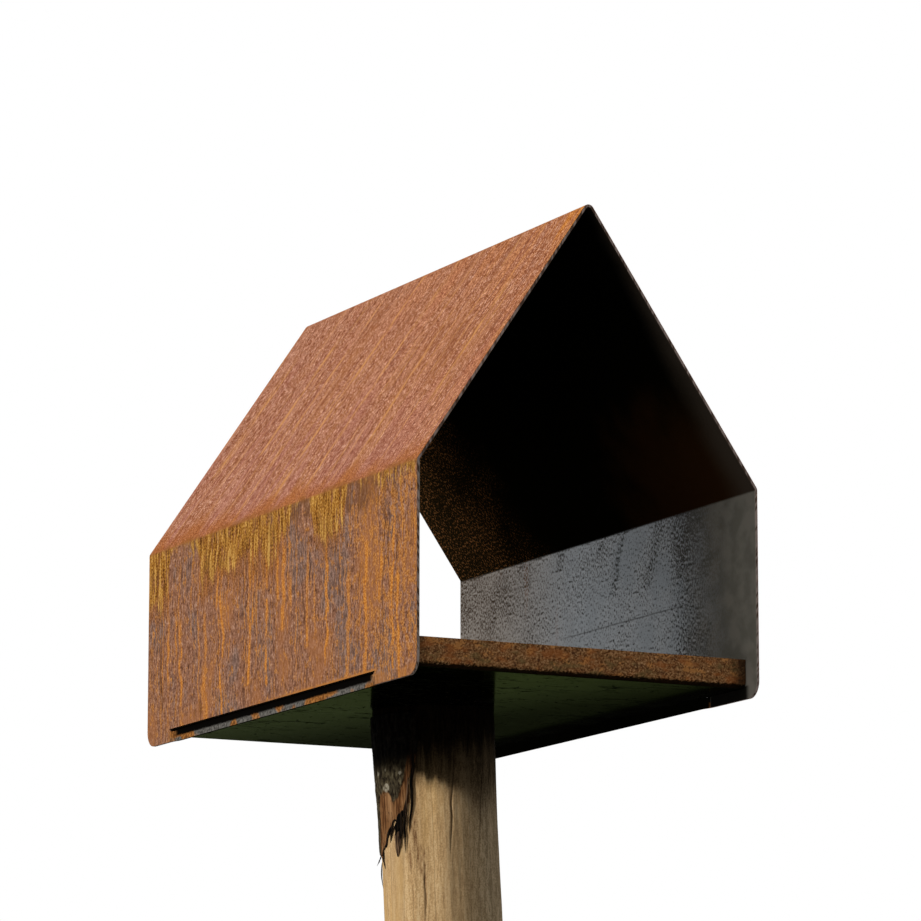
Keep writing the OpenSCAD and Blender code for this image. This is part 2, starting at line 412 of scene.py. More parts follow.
# %% Walls: ochre under the eave
OCHRE_PATCHES = ((-218, -192, 8), (-181, -158, 13), (-104, -61, 31), (-18, 122, 25), (185, 218, 36))


def ochre_reach(f):
    """How far the ochre reaches below the eave: each patch is (start, end, depth) in mm."""
    reach = f.step(f.y, -30 * MM, 20 * MM) * 6 * MM - 5 * MM
    for start, end, deep in OCHRE_PATCHES:
        reach = reach + f.band(f.y, start * MM, end * MM, 10 * MM) * (deep * MM)
    return reach


def with_ochre(f, colour, shift, down, bent, crumbs, torn):
    """Lays the ochre, its brown halo and the dark ground beside it on a colour."""
    y, drop = f.y, down - SLOPE_L
    comb = f.noise(bent * 330, down * 26, shift + 10, detail=3, rough=0.6)
    lobes = f.noise(y * 55, down * 26, shift + 14, detail=2)
    reach = ochre_reach(f) + (comb - 0.5) * 46 * MM + (lobes - 0.5) * 44 * MM
    halo = f.step(drop - reach * 1.2, 16 * MM, 0.0) * f.step(reach, 4 * MM, 14 * MM)
    umber = f.tones(crumbs, 0.40, 0.60, (0.13, 0.042, 0.010), (0.40, 0.150, 0.036))
    colour = f.mix(halo * 0.60, colour, umber)
    wet = f.step(drop - reach, 5 * MM, -4 * MM)
    stain = f.ramp(
        comb * 0.62 + crumbs * 0.38, (0.43, (0.100, 0.036, 0.009)), (0.475, (0.28, 0.106, 0.016)),
        (0.52, (0.45, 0.205, 0.033)), (0.60, (0.74, 0.41, 0.105)))
    stain = f.mix(f.step(lobes, 0.50, 0.62) * 0.25, stain, (0.33, 0.185, 0.050))
    colour = f.mix(wet * f.step(torn, 0.34, 0.48) * 0.92, colour, stain)
    dark = f.band(y, -152 * MM, -22 * MM, 12 * MM) * (1 - wet)
    dark = dark * f.step(drop - (lobes - 0.35) * 70 * MM, 6 * MM, -4 * MM)
    return f.mix(dark * 0.6, colour, (0.15, 0.062, 0.024))


print(f"{len(OCHRE_PATCHES)} ochre patches under the eave")

# %% Walls: all together
def wall_rust(f, side, down):
    """Colour of the wall's outer face, and its grain from 0 to 1."""
    y, shift, drop = f.y, side * SIDE_SHIFT, down - SLOPE_L
    sway = (f.noise(y * 9, down * 24, shift + 2, detail=2) - 0.5) * 16 * MM
    bent = y + sway + (f.noise(y * 60, down * 80, shift + 12) - 0.5) * 3.4 * MM
    dashes = f.noise((y + sway * 0.4) * 450, down * 170, shift + 1, detail=3, rough=0.7)
    crumbs = f.noise(y * 800, down * 640, shift + 3, detail=2)
    grain = dashes * 0.66 + crumbs * 0.34
    torn = f.noise(y * 300, down * 60, shift + 9, detail=3, rough=0.65)
    colour = wall_ground(f, shift, down, bent, grain, crumbs)
    drips = wall_drips(f, shift, drop, bent, torn) * (f.step(drop, -20 * MM, 90 * MM) * 0.25 + 0.70)
    wetter = f.tones(crumbs, 0.40, 0.60, (0.46, 0.145, 0.020), (0.74, 0.310, 0.062))
    colour = f.mix(drips, colour, wetter)
    return with_ochre(f, colour, shift, down, bent, crumbs, torn), grain


print("the walls' recipe: ground, drips, ochre")

# %% [markdown]
# ## Mill scale on the inside
# Hardly any rain gets inside, so the blue-grey skin from the rolling mill is
# still there. It is smooth and a little metallic, so it is given some metallic
# gloss, which rusty specks and the brown ends near the open gables don't have.

# %% Inner walls
INNER_SHIFT = 5.0
SCRATCH_H = 77 * MM


def scale_wall(f, side, down):
    """Colour of the inner wall, and how much of it is bare mill scale."""
    y, shift = f.y, side * INNER_SHIFT
    height = SLOPE_L + WALL_H - down
    cloud = f.noise(y * 20, down * 20, shift, detail=4, rough=0.6)
    back = f.step(y, 20 * MM, 190 * MM)
    front = f.band(y, -168 * MM, -118 * MM, 26 * MM)
    crowd = front * 0.066 + back * 0.055 + f.step(height, 78 * MM, 110 * MM) * 0.02
    crowd = crowd + (cloud - 0.5) * 0.26
    dashes = f.noise(y * 760, down * 480, shift + 1, detail=3, rough=0.65)
    specks = f.step(dashes + crowd, 0.535, 0.63)
    slant = y + (height - 100 * MM) * 0.35 + (f.noise(y * 14, down * 16, shift + 2) - 0.5) * 22 * MM
    arcs = f.threads(slant, 168 * MM - height, 47, 15, 85, 33)
    arcs = arcs * f.step(height, 78 * MM, 96 * MM) * f.step(dashes, 0.47, 0.54)
    wobble = (f.noise(y * 25, 0.0, shift) - 0.5) * 1.5 * MM
    scratch = f.step(f.size(height - SCRATCH_H - wobble), 0.7 * MM, 0.2 * MM)
    scratch = scratch * f.band(y, -95 * MM, 30 * MM, 45 * MM)
    scale = f.tones(cloud, 0.35, 0.65, (0.216, 0.236, 0.250), (0.297, 0.312, 0.321))
    scale = f.mix(back * 0.85, scale, (0.49, 0.425, 0.360))
    speck_colour = f.mix(back, (0.128, 0.120, 0.108), (0.230, 0.150, 0.096))
    bare = (1 - specks * 0.80) * (1 - f.most(scratch * 0.28, arcs * 0.65))
    end = f.step(y - cloud * 60 * MM, -140 * MM, -226 * MM)
    soft = f.noise(y * 60, down * 60, shift + 3, detail=3)
    brown = f.tones(soft, 0.38, 0.62, (0.36, 0.335, 0.265), (0.49, 0.445, 0.365))
    colour = f.mix(bare, speck_colour, scale)
    streak = f.step(f.noise(y * 60, down * 12, shift + 4, detail=3), 0.60, 0.68)
    colour = f.mix(back * streak * f.step(dashes, 0.42, 0.56) * 0.7, colour, (0.42, 0.155, 0.050))
    colour = f.mix(end * 0.85, colour, brown)
    return colour, bare * (1 - end * 0.80) * (1 - back * 0.20)


print(f"mill scale on the walls, with a scratch {SCRATCH_H / MM:.0f} mm up")

# %% Under the roof
def scale_roof(f, side, down):
    """Colour under the roof: nearly black, with rust blown in at the ends.

    Specks gather low at the back, a red glow low at the front, and a narrow
    brown margin runs along the front edge. The near-black ground is mill scale
    with painted shade, darkest towards the ridge. up = distance above the eave.
    """
    y, shift = f.y, side * INNER_SHIFT
    up = SLOPE_L - down
    specks = f.noise(y * 700, down * 520, shift + 2, detail=3, rough=0.6)
    cloud = f.noise(y * 30, down * 30, shift + 3, detail=2)
    low = f.step(y - up * 0.25 + (cloud - 0.5) * 70 * MM, 60 * MM, 175 * MM)
    rusty = f.tones(specks, 0.49, 0.62, (0.060, 0.030, 0.008), (0.95, 0.400, 0.130))
    # Painted shade: the near-black deepens from the eave towards the ridge.
    black = f.tones(up, 160 * MM, 20 * MM, (0.0020, 0.0020, 0.0010), (0.0090, 0.0070, 0.0015))
    dull = f.mix(low, black, (0.046, 0.032, 0.012))
    colour = f.mix(low * f.step(specks + cloud * 0.16, 0.605, 0.72), dull, rusty)
    drift = (cloud - 0.5) * 70 * MM
    red = f.spot(y + 140 * MM + drift, up + drift, 115 * MM, 105 * MM)
    colour = f.mix(red * 0.80, colour, (0.070, 0.027, 0.007))
    front = f.step(y + up * 0.14 + (cloud - 0.5) * 14 * MM, -172 * MM, -208 * MM)
    return f.mix(front * 0.8, colour, (0.120, 0.092, 0.068))


print("black under the roof, with rust at both ends")

# %% The ledge strips
def ledge_strip(f, side, height, depth):
    """Colour of the pressed-in strip: grey with orange patches, and black at its top.

    Where the strip is pressed in, its outer face lies deeper than the wall's.
    The black at its top and on its inner face, under the tray, is painted shade.
    """
    patches = f.noise(f.y * 24, height * 40, side * 3.0, detail=2)
    crumbs = f.noise(f.y * 420, height * 420, side, detail=3)
    pressed = f.step(depth, 0.7 * MM, 1.9 * MM)
    rust = f.tones(crumbs, 0.40, 0.62, (0.17, 0.065, 0.018), (0.46, 0.190, 0.050))
    grey = f.tones(crumbs, 0.38, 0.62, (0.062, 0.057, 0.050), (0.185, 0.172, 0.152))
    face = f.mix(f.most(f.step(patches, 0.50, 0.55), (1 - pressed) * 0.7), grey, rust)
    ragged = height + (crumbs - 0.5) * 3 * MM
    # Painted shade: the top of the pressed-in strip, under the wall's edge, is black.
    face = f.mix(f.step(ragged, 2.8 * MM, 4.2 * MM) * pressed, face, (0.003, 0.0025, 0.002))
    # Painted shade: deeper than the wall's inner face, on the strip's inside under the tray, it is
    # black.
    return f.tones(depth, 2.05 * MM, 2.4 * MM, face, (0.006, 0.006, 0.003))


print(f"ledge strips from {LEDGE_FRONT / MM:.0f} to {LEDGE_BACK / MM:.0f} mm along the wall")

# %% [markdown]
# ## The shell's finish
# The recipes meet here. `depth` tells the outer face, the cut edge and the inner
# face apart, and `height` tells the roof from the wall and finds the slot. Water
# stays longest at the sheet's margins, so those are more orange.

# %% Outer and inner face
EDGE_RUST = (0.50, 0.195, 0.045)


def outer_face(f, side, down, height):
    """Colour and grain of the outside: roof and wall, the seam and the margins."""
    roof, roof_grain = roof_rust(f, side, down)
    wall, wall_grain = wall_rust(f, side, down)
    on_wall = f.step(down, SLOPE_L - 1.5 * MM, SLOPE_L + 1.5 * MM)
    patchy = f.noise(f.y * 75, down * 75, side, detail=3)
    rim = f.step(f.size(f.y) - patchy * 8 * MM, HALF_D - 9 * MM, HALF_D - 3 * MM)
    rim = rim * (1 - on_wall * 0.65)
    foot = f.step(height - patchy * 9 * MM, 4 * MM, 0.0) * f.step(f.y, -90 * MM, -150 * MM)
    crest = f.step(down + patchy * 12 * MM, 16 * MM, 6 * MM) * (1 - on_wall)
    above_slot = f.band(height, LEDGE_H + 1.5 * MM, LEDGE_H + 2.6 * MM, 1.6 * MM)
    above_slot = above_slot * f.step(f.y, 60 * MM, -60 * MM)
    above_slot = above_slot * f.step(f.y, LEDGE_FRONT - 6 * MM, LEDGE_FRONT + 4 * MM)
    margins = f.most(f.most(rim, foot * on_wall), crest) * f.step(patchy, 0.38, 0.58)
    margins = f.most(margins * 0.55, above_slot * f.step(patchy, 0.30, 0.44) * 0.85)
    colour = f.mix(margins, f.mix(on_wall, roof, wall), EDGE_RUST)
    seam = f.step(f.size(down - SLOPE_L + 1 * MM), 4.5 * MM, 1 * MM)
    colour = f.mix(seam * f.step(patchy, 0.62, 0.42) * 0.55, colour, (0.27, 0.105, 0.028))
    return colour, roof_grain + on_wall * (wall_grain - roof_grain)


def inner_face(f, side, down, height):
    """Colour of the inside, and how much of it is bare mill scale."""
    wall, bare = scale_wall(f, side, down)
    in_wall = f.step(height, WALL_H - 0.5 * MM, WALL_H - 2.5 * MM)
    return f.mix(in_wall, scale_roof(f, side, down), wall), in_wall * bare


print("outer and inner face of the folded sheet")

# %% The shell's material
def rusted_shell():
    f = Finish("rusted_shell", roughness=0.85, specular=0.0)
    side, down, height, depth = unroll(f)
    outer, grain = outer_face(f, side, down, height)
    inner, bare = inner_face(f, side, down, height)
    inside = f.step(depth, SHEET - 0.4 * MM, SHEET - 0.2 * MM)
    colour = f.mix(inside, outer, inner)
    mottle = f.noise(f.y * 420, down * 260, side, detail=3)
    edge = f.tones(mottle, 0.40, 0.58, (0.13, 0.085, 0.066), (0.52, 0.41, 0.36))
    colour = f.mix(f.band(depth, 0.35 * MM, 1.65 * MM, 0.1 * MM), colour, edge)
    along = f.band(f.y, LEDGE_FRONT + 2 * MM, LEDGE_BACK - 2 * MM, 2 * MM)
    # Painted shade: in the slot, the cut edges and what shows behind them are black.
    slot = along * f.band(height, LEDGE_H, LEDGE_H + 2.2 * MM, 0.3 * MM)
    colour = f.mix(slot * f.step(depth, 0.1 * MM, 0.3 * MM), colour, (0.004, 0.003, 0.002))
    strip = along * f.step(height, LEDGE_H + 0.4 * MM, LEDGE_H)
    colour = f.mix(strip, colour, ledge_strip(f, side, height, depth))
    # Painted shade: the inner face below the tray's level, except near the front, is nearly black as
    # shade under the tray.
    under = f.step(height, LEDGE_H + 2.5 * MM, LEDGE_H + 1 * MM) * inside
    under = under * f.step(f.y, 8 * MM - HALF_D, 15 * MM - HALF_D) * (1 - strip)
    colour = f.mix(under * 0.97, colour, (0.005, 0.004, 0.0025))
    glossy = inside * bare * (1 - strip) * (1 - under)
    return f.done(colour, roughness=0.92 - grain * 0.14 - glossy * 0.42,
                  metallic=glossy * 0.85, height=grain * (0.16 * MM) * (1 - inside * 0.7))


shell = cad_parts["folded_shell"]
shell.data.materials.clear()
shell.data.materials.append(rusted_shell())

# %% [markdown]
# ## The tray
# Its lips have fine curly rust in browns and oranges, the bend below them is
# black, and its top is stained by wet seed. Its underside has kept the smooth
# dark skin of the mill. Seen at a low angle such a skin is a dim mirror, so it
# is a metal with a rather low roughness, and the post shows in it. `Specular
# Tint` gives a metal its colour at grazing angles: here a dull green, a painted
# reflection of green surroundings. The tray's side edge, seen through the slots,
# is painted black as shade.

# %% The tray: rust on its lips and top
# Painted reflection: the tint colours the skin's reflections green, as if it mirrored green
# surroundings.
SKIN_TINT = (0.31, 0.43, 0.10, 1.0)


def lip_rust(f, high):
    """Curly rust in browns and oranges, dark at the sides; and its grain."""
    x, y = f.x, f.y
    curl = (f.noise(x * 240, y * 240, high * 240, detail=2) - 0.5) * 2.2
    grain = f.noise(x * 640 + curl, y * 640 - curl, high * 700 + curl, detail=3, rough=0.7)
    blotch = f.noise(x * 60, y * 60, high * 110, detail=4, rough=0.6)
    other = f.noise(x * 95, y * 95, high * 150 + 7, detail=3) + (grain - 0.5) * 0.5
    rust = f.ramp(
        grain, (0.36, (0.105, 0.045, 0.018)), (0.45, (0.260, 0.110, 0.040)),
        (0.51, (0.390, 0.180, 0.068)), (0.58, (0.52, 0.265, 0.110)), (0.67, (0.78, 0.46, 0.22)))
    rust = f.layers(
        rust, (blotch, 0.52, 0.64, 0.60, (0.50, 0.160, 0.042)),
        (blotch, 0.48, 0.36, 0.62, (0.210, 0.148, 0.056)),
        (other, 0.58, 0.66, 0.60, (0.80, 0.340, 0.095)),
        (other, 0.42, 0.34, 0.60, (0.120, 0.052, 0.026)),
        (f.size(x), tray_high.x - 14 * MM, tray_high.x - 1 * MM, 0.80, (0.030, 0.018, 0.010)),
        (high + (grain - 0.5) * 4 * MM, 3.6 * MM, 1.8 * MM, 0.97, (0.006, 0.004, 0.002)))
    return rust, grain


print("the lips' rust: two kinds of blotches, dark ends and a black bend")

# %% The tray's material
def rusted_tray():
    f = Finish("rusted_tray", roughness=0.88, specular=0.0)
    f.shader.inputs["Specular Tint"].default_value = SKIN_TINT
    x, y = f.x, f.y
    high = f.z - TRAY_Z
    rust, grain = lip_rust(f, high)
    lines = f.line(f.noise(x * 22, y * 130, detail=2), 0.016)
    pits = f.step(f.noise(x * 260, y * 110, detail=3, rough=0.6), 0.37, 0.31)
    worn = f.noise(x * 16, y * 26, detail=4)
    flaws = f.least(lines * f.step(worn, 0.42, 0.56) + pits, 1.0)
    below = f.step(high, 0.4 * MM, 0.15 * MM)
    below = below * f.step(f.size(y), TRAY_END - 2 * MM, TRAY_END - 5 * MM)
    skin = f.tones(worn, 0.40, 0.62, (0.005, 0.0045, 0.003), (0.009, 0.010, 0.006))
    colour = f.mix(below, rust, skin)
    # Painted shade: the tray's side edge behind the slots is black.
    side_edge = f.step(f.size(x), tray_high.x - 0.6 * MM, tray_high.x - 0.1 * MM)
    colour = f.mix(side_edge * f.step(high, 2.5 * MM, 2 * MM), colour, (0.004, 0.003, 0.002))
    dulled = f.step(x + y * 0.3, -90 * MM, 70 * MM)
    smooth = below * (0.74 + worn * 0.36) * (1 - dulled * 0.80) * (1 - flaws * 0.8)
    rough = 0.94 - grain * 0.12 - below * (0.79 - worn * 0.06 - flaws * 0.4)
    return f.done(colour, roughness=rough, metallic=smooth,
                  height=grain * (0.18 * MM) * (1 - below * 0.97))


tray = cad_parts["floor_tray"]
tray.data.materials.clear()
tray.data.materials.append(rusted_tray())

# %% [markdown]
# ## Surfaces worked out with numpy
# The post and its bark are natural shapes, so they are made as grids of points:
# a radius as a function of the angle round the post and the height up it. Their
# roughness is lattice noise: random numbers on the corners of a grid, blended by
# an s-curve, and wrapped round so that no seam shows.

# %% Lattice noise
def lattice(turn, along, cells, rows, seed):
    """Smooth noise from -1 to 1 over (turn, along), both from 0 to 1.

    Random corner values of a grid that wraps round in turn, blended between the
    four corners of each cell by the weight 3w^2 - 2w^3.
    """
    table = np.random.default_rng(seed).uniform(-1, 1, (rows + 1, cells))
    u = (turn % 1.0) * cells
    v = np.clip(along, 0, 1) * rows
    i = np.floor(u).astype(int)
    j = np.minimum(np.floor(v).astype(int), rows - 1)
    wu, wv = u - i, v - j
    wu, wv = wu * wu * (3 - 2 * wu), wv * wv * (3 - 2 * wv)
    left, right = i % cells, (i + 1) % cells
    low = table[j, left] * (1 - wu) + table[j, right] * wu
    high = table[j + 1, left] * (1 - wu) + table[j + 1, right] * wu
    return low * (1 - wv) + high * wv


def wander(along, cells, seed):
    """Lattice noise along one direction only, for along from 0 to 1."""
    return lattice(along * 0, along, 1, cells, seed)


def around_post(angle, cells, seed):
    """Lattice noise round the post only, for an angle in degrees."""
    return lattice(angle / 360, angle * 0, cells, 1, seed)


def ease(value, low, high):
    """0 before low, 1 after high, and an s-curve between them."""
    t = np.clip((value - low) / (high - low), 0, 1)
    return t * t * (3 - 2 * t)


def angle_from(angle, start):
    """Angle from start, between -180 and 180 degrees."""
    return (angle - start + 540) % 360 - 180


print("350 degrees lies", angle_from(350, 0), "degrees from 0")

# %% Meshes from grids of points
def mesh_object(name, points, faces, material, smooth=True, **painted):
    """A mesh object at the origin from points and faces.

    Each array in painted is one value for each point, kept as an attribute.
    """
    mesh = bpy.data.meshes.new(name)
    mesh.from_pydata(points.reshape(-1, 3).tolist(), [], faces)
    mesh.shade_smooth() if smooth else mesh.shade_flat()
    mesh.materials.append(material)
    for key, values in painted.items():
        layer = mesh.attributes.new(key, "FLOAT", "POINT")
        layer.data.foreach_set("value", values.ravel().astype(np.float32))
    made = bpy.data.objects.new(name, mesh)
    bpy.context.scene.collection.objects.link(made)
    print(f"{name}: {len(mesh.vertices)} points, {len(mesh.polygons)} faces")
    return made


def ring_faces(rows, cols):
    """Quads between rows of points whose columns close into rings."""
    i = np.arange(rows - 1)[:, None] * cols
    j = np.arange(cols)[None, :]
    k = (j + 1) % cols
    quads = np.stack([i + j, i + k, i + cols + k, i + cols + j], axis=-1)
    return quads.reshape(-1, 4).tolist()


def strip_end(first, cols, flip):
    """Quads that close a ring made of a front half and a back half."""
    j = np.arange(cols // 2 - 1)
    quads = first + np.stack([cols - 1 - j, cols - 2 - j, j + 1, j], axis=-1)
    return (quads[:, ::-1] if flip else quads).tolist()


print("a ring of 4 points in 2 rows has", len(ring_faces(2, 4)), "faces")

# %% [markdown]
# ## The post
# A post is never a true cylinder: it bows, tapers, swells at its head, and is
# flat where branches and bark came off. On that form lie ridges of wood fibre
# and a few drying cracks. The grid's rows draw together towards the head. An
# angle is in degrees from +X towards +Y, and a height is in metres.

# %% The post's form
POST_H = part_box("post")[1].z
FOOT_D, NECK_D, SWELL = 84 * MM, 77.5 * MM, 2.2 * MM
BOW, SHIFT = 16.5 * MM, 6.5 * MM
LOW_KNOT = (110, 0.35 * POST_H, 5 * MM)
HIGH_KNOT = (300, 0.62 * POST_H, 4 * MM)


def cosd(degrees):
    return np.cos(np.radians(degrees))


def post_axis(z):
    """Middle of the post at height z: a slow bow, off to one side at the head."""
    u = z / POST_H
    return (-SHIFT * u * u + 4 * BOW * u * (1 - u),
            0.3 * SHIFT * u * u - 2 * BOW * u * (1 - u))


def knot(angle, z, at_angle, at_z, size):
    """A rounded bump round an old branch, 16 degrees wide and 35 mm high."""
    return size * np.exp(-(angle_from(angle, at_angle) / 16) ** 2 - ((z - at_z) / (35 * MM)) ** 2)


def post_radius(angle, z):
    """Radius without its fine grain: taper, swelling, flats and knots.

    The flats are waves round the post, 2, 5 and 9 of them, that turn with height.
    """
    u, mm = z / POST_H, z / MM
    flats = (1.1 * cosd(2 * angle + 25 + mm / 14) + 0.7 * cosd(5 * angle - 40 + mm / 9)
             + 0.35 * cosd(9 * angle + mm / 5)) * MM
    return ((FOOT_D + (NECK_D - FOOT_D) * u) / 2 + SWELL * np.exp(-((POST_H - z) / (60 * MM)) ** 2)
            + flats + knot(angle, z, *HIGH_KNOT) + knot(angle, z, *LOW_KNOT))


def on_post(angle, z, lift):
    """Points at an angle and a height, lifted off the post's plain form."""
    x, y = post_axis(z)
    radius = post_radius(angle, z) + lift
    return np.stack([x + radius * cosd(angle), y + radius * cosd(angle - 90), z], axis=-1)


print(f"post {POST_H:.2f} m high, its head {-post_axis(POST_H)[0] / MM:.1f} mm off to the left")

# %% Cracks and ridges
CHECKS = ((254, 262, 1.400, 1.470), (286, 300, 1.41, 1.492), (226, 227, 1.355, 1.395),
          (283, 284, 0.92, 1.38), (230, 233, 0.55, 1.30), (74, 78, 0.30, 1.30),
          (15, 12, 0.80, 1.45), (330, 326, 0.05, 0.80), (200, 204, 0.10, 0.90), (128, 124, 0.60, 1.25))
CHECK_DEPTH, CHECK_WIDTH = 1.1, 0.65


def drying_checks(angle, z):
    """1 in the cracks that drying pulls open along the grain, 0 beside them.

    A crack is (angle at its lower end, angle at its upper end, lower height,
    upper height) in degrees and metres, and is deepest half way up.
    """
    total = np.zeros_like(z)
    for number, (angle_low, angle_high, low, high) in enumerate(CHECKS):
        along = np.clip((z - low) / (high - low), 0, 1)
        path = angle_low + (angle_high - angle_low) * along
        path = path + 0.8 * wander(along, 6, 40 + number)
        off = angle_from(angle, path) / CHECK_WIDTH
        total += np.sin(np.pi * along) ** 0.5 * np.exp(-off ** 2)
    return np.minimum(total, 1)


def wood_ridges(angle, z):
    """Relief of the peeled wood in millimetres: long ridges and fibres."""
    turn, along = angle / 360, z / POST_H
    return (0.42 * lattice(turn, along, 26, 7, 1) + 0.20 * lattice(turn, along, 70, 24, 2)
            + 0.10 * lattice(turn, along, 190, 80, 3))


print(f"{len(CHECKS)} drying cracks, {CHECK_DEPTH} mm deep")

# %% The post's grid
POST_ROWS, POST_COLS = 200, 480
CROWDING = 2.2

angles = np.arange(POST_COLS) * 360 / POST_COLS
heights = POST_H * (1 - (1 - np.linspace(0, 1, POST_ROWS)) ** CROWDING)
angle_grid, height_grid = np.meshgrid(angles, heights)
checks = drying_checks(angle_grid, height_grid)
lift = (wood_ridges(angle_grid, height_grid) - CHECK_DEPTH * checks) * MM
post_points = on_post(angle_grid, height_grid, lift)
print(f"post grid {POST_ROWS} x {POST_COLS}, {post_points[..., 0].min() / MM:.0f} mm "
      f"to {post_points[..., 0].max() / MM:.0f} mm in x")

# %% [markdown]
# ## Bands, stains and painted shade on the wood
# Peeling leaves upright facets, each with its own tone and a dark line at its
# edge. Iron and tannin from the rusty tray blacken the head, and painted shade
# under the tray blackens it further; the lower edge of the brown zone follows the
# tray's cast shadow on the post, painted on. The last bark has browned the wood
# beside it. The side away from the key lamp is grey from the weather and darker
# from painted shade. Each is worked out on the post's grid as a value from 0 to
# 1, and the wood's material reads it.

# %% Bands and seams
FACETS = 36
FACET_ANGLE = 360 / FACETS

streaky = 0.6 * around_post(angle_grid, 90, 51)
streaky = streaky + 0.4 * lattice(angle_grid / 360, height_grid / POST_H, 200, 12, 52)
band_tones = np.random.default_rng(1221).uniform(0, 1, FACETS)
wavy = 3.5 * lattice(angle_grid / 360, height_grid / POST_H, 12, 20, 61)
place = (angle_grid - 6 + wavy) / FACET_ANGLE
facet, within = np.floor(place).astype(int) % FACETS, place % 1
blend = ease(within, 0.88, 1.0)
bands = band_tones[facet] * (1 - blend) + band_tones[(facet + 1) % FACETS] * blend
seams = np.exp(-((within - 0.95) / 0.05) ** 2) * ease(streaky, -0.2, 0.4)
print(f"{FACETS} bands, tones from {bands.min():.2f} to {bands.max():.2f}")

# %% Iron and tannin with painted shade and shadow, and weather with painted shade
def over_angles(*marks):
    """A height that changes smoothly with the angle: marks of (angle, height)."""
    places, values = zip(*marks)
    return np.interp(angle_grid, places, values)


# Black at the head, from iron stain and from painted shade under the tray.
iron_low = over_angles((100, 1.455), (226, 1.442), (256, 1.441), (270, 1.448), (320, 1.454))
iron = ease(height_grid + streaky * 8 * MM, iron_low, iron_low + 36 * MM)
# The lower edge of the brown zone follows the tray's cast shadow on the post: a painted shadow over a
# tannin stain.
tannin_low = over_angles((100, 1.45), (222, 1.455), (228, 1.451), (249, 1.445), (263, 1.438),
                         (274, 1.428), (285, 1.417), (310, 1.418), (340, 1.44))
tannin_soft = over_angles((215, 0.004), (250, 0.005), (263, 0.010), (285, 0.034), (310, 0.036))
tannin = ease(height_grid + streaky * 4 * MM, tannin_low, tannin_low + tannin_soft)
# The side away from the key lamp: grey weathering and painted shade.
weather = ease(angle_grid, 250, 300) * ease(angle_grid, 400, 350) + ease(angle_grid, 60, 0) * 0.8
print(f"iron down to {iron_low.min():.3f} m, tannin down to {tannin_low.min():.3f} m")

# %% Where bark and rootlets have browned the wood
ROOTLETS = ((217, 1.398, 1.433), (221, 1.388, 1.420), (225, 1.376, 1.408), (213.5, 1.386, 1.407))
ROOTLET_WIDTH = 1.7

root_lines = np.zeros_like(height_grid)
for number, (root_angle, root_low, root_high) in enumerate(ROOTLETS):
    path = root_angle + 2.6 * wander((height_grid - 1.38) * 20, 12, 80 + number)
    line = np.exp(-((angle_grid - path) / ROOTLET_WIDTH) ** 2)
    line = line * ease(height_grid, root_low, root_low + 8 * MM)
    root_lines = np.maximum(root_lines, line * ease(height_grid, root_high, root_high - 6 * MM))
near_bark = ease(angle_grid, 238 + 5 * streaky, 220) * ease(angle_grid, 200, 212)
near_bark = np.maximum(near_bark * ease(height_grid, 1.385, 1.425) * 0.35, root_lines)
print(f"{len(ROOTLETS)} rootlets beside the bark")

# %% Wood finish
def peeled_wood():
    f = Finish("peeled_wood", roughness=0.85, specular=0.015)
    x, y, z = f.x, f.y, f.z
    broad = f.noise(x * 55, y * 55, z * 5, detail=3)
    fine = f.noise(x * 330, y * 330, z * 24, detail=3, rough=0.6)
    fibre = f.noise(x * 900, y * 900, z * 150, detail=2)
    sand = f.noise(x * 1100, y * 1100, z * 900, detail=2)
    grain = fine * 0.30 + fibre * 0.34 + sand * 0.36
    colour = f.ramp(
        grain, (0.38, (0.48, 0.285, 0.125)), (0.455, (0.64, 0.395, 0.177)),
        (0.51, (0.77, 0.495, 0.228)), (0.60, (0.92, 0.650, 0.340)))
    colour = f.mix((1 - f.painted("bands")) * 0.50, colour, (0.43, 0.285, 0.155))
    colour = f.layers(
        colour, (broad, 0.52, 0.66, 0.40, (0.74, 0.445, 0.150)),
        (broad, 0.47, 0.34, 0.30, (0.42, 0.285, 0.150)))
    weathered = f.tones(grain, 0.42, 0.58, (0.27, 0.215, 0.130), (0.63, 0.500, 0.330))
    brown = f.tones(grain, 0.42, 0.58, (0.13, 0.054, 0.021), (0.36, 0.185, 0.076))
    tanned = f.tones(grain, 0.40, 0.60, (0.024, 0.014, 0.006), (0.115, 0.078, 0.038))
    stained = f.tones(grain, 0.42, 0.62, (0.0015, 0.0010, 0.0006), (0.010, 0.006, 0.003))
    # The cracks are darkened as painted shade inside them.
    # The weathered side, the tannin zone and the iron stain also carry painted shade and a painted
    # shadow.
    for name, share, over in (
            ("seams", 0.52, (0.21, 0.112, 0.050)), ("weather", 0.72, weathered),
            ("near_bark", f.step(fine, 0.30, 0.46) * 0.90, brown), ("tannin", 0.90, tanned),
            ("checks", 0.88, (0.040, 0.022, 0.012)), ("iron", 0.98, stained)):
        colour = f.mix(f.painted(name) * share, colour, over)
    return f.done(colour, height=(fine * 0.16 + fibre * 0.08 + sand * 0.04) * MM)


# %% The wooden post: the grid, closed by a fan of triangles at each end
count = POST_ROWS * POST_COLS
cap_points = np.array([[*post_axis(0.0), 0.0], [*post_axis(POST_H), POST_H]])
j = np.arange(POST_COLS)
k = (j + 1) % POST_COLS
foot_cap = np.stack([np.full(POST_COLS, count), k, j], axis=-1)
top = count - POST_COLS
head_cap = np.stack([np.full(POST_COLS, count + 1), top + j, top + k], axis=-1)
post_wood = mesh_object(
    "post_wood", np.concatenate([post_points.reshape(-1, 3), cap_points]),
    ring_faces(POST_ROWS, POST_COLS) + foot_cap.tolist() + head_cap.tolist(), peeled_wood(),
    checks=np.append(checks, [0, 0]), bands=np.append(bands, [1, 1]),
    seams=np.append(seams, [0, 0]), iron=np.append(iron, [0, 1]),
    tannin=np.append(tannin, [0, 1]), near_bark=np.append(near_bark, [0, 0]),
    weather=np.append(weather, [0, 0]))
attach(post_wood, "root")
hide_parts("post")

